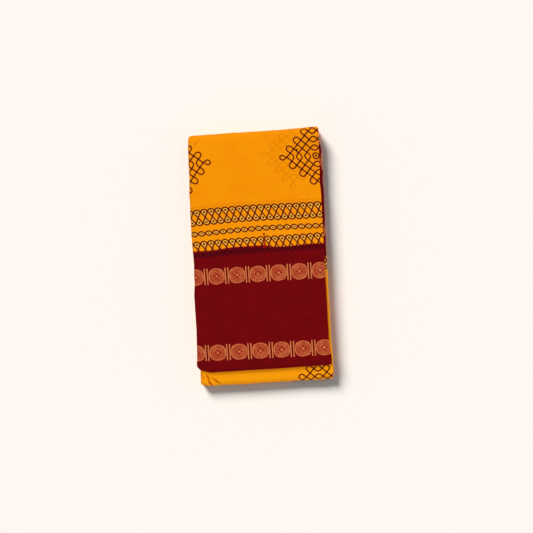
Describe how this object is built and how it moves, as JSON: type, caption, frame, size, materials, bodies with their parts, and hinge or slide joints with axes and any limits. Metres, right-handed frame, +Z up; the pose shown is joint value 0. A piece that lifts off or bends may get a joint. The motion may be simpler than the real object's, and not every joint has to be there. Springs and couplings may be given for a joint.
{
  "type": "folded cotton saree",
  "caption": "Cotton saree pleated lengthways and folded in thirds into a flat oblong packet, with a wide woven border on its front leaf.",
  "frame": {"origin": "middle of the packet's footprint, on the surface it lies on", "axes": "+X across the packet towards its open folded edges, +Y along the packet towards its top fold, +Z up out of the front leaf"},
  "size_m": [0.2179, 0.402, 0.0274],
  "materials": {
    "mustard_printed_cotton": "plain woven cotton, matt, with a dark kolam line print",
    "maroon_border_cotton": "plain woven cotton with two rows of copper-coloured zari medallions",
    "folded_cotton_layers": "folded edges of plain woven cotton"
  },
  "bodies": {
    "root": {"front_border": "maroon_border_cotton", "front_body": "mustard_printed_cotton", "back_body": "mustard_printed_cotton", "lower_body": "mustard_printed_cotton", "inner_border": "maroon_border_cotton", "folded_layers": "folded_cotton_layers"}
  },
  "joints": []
}
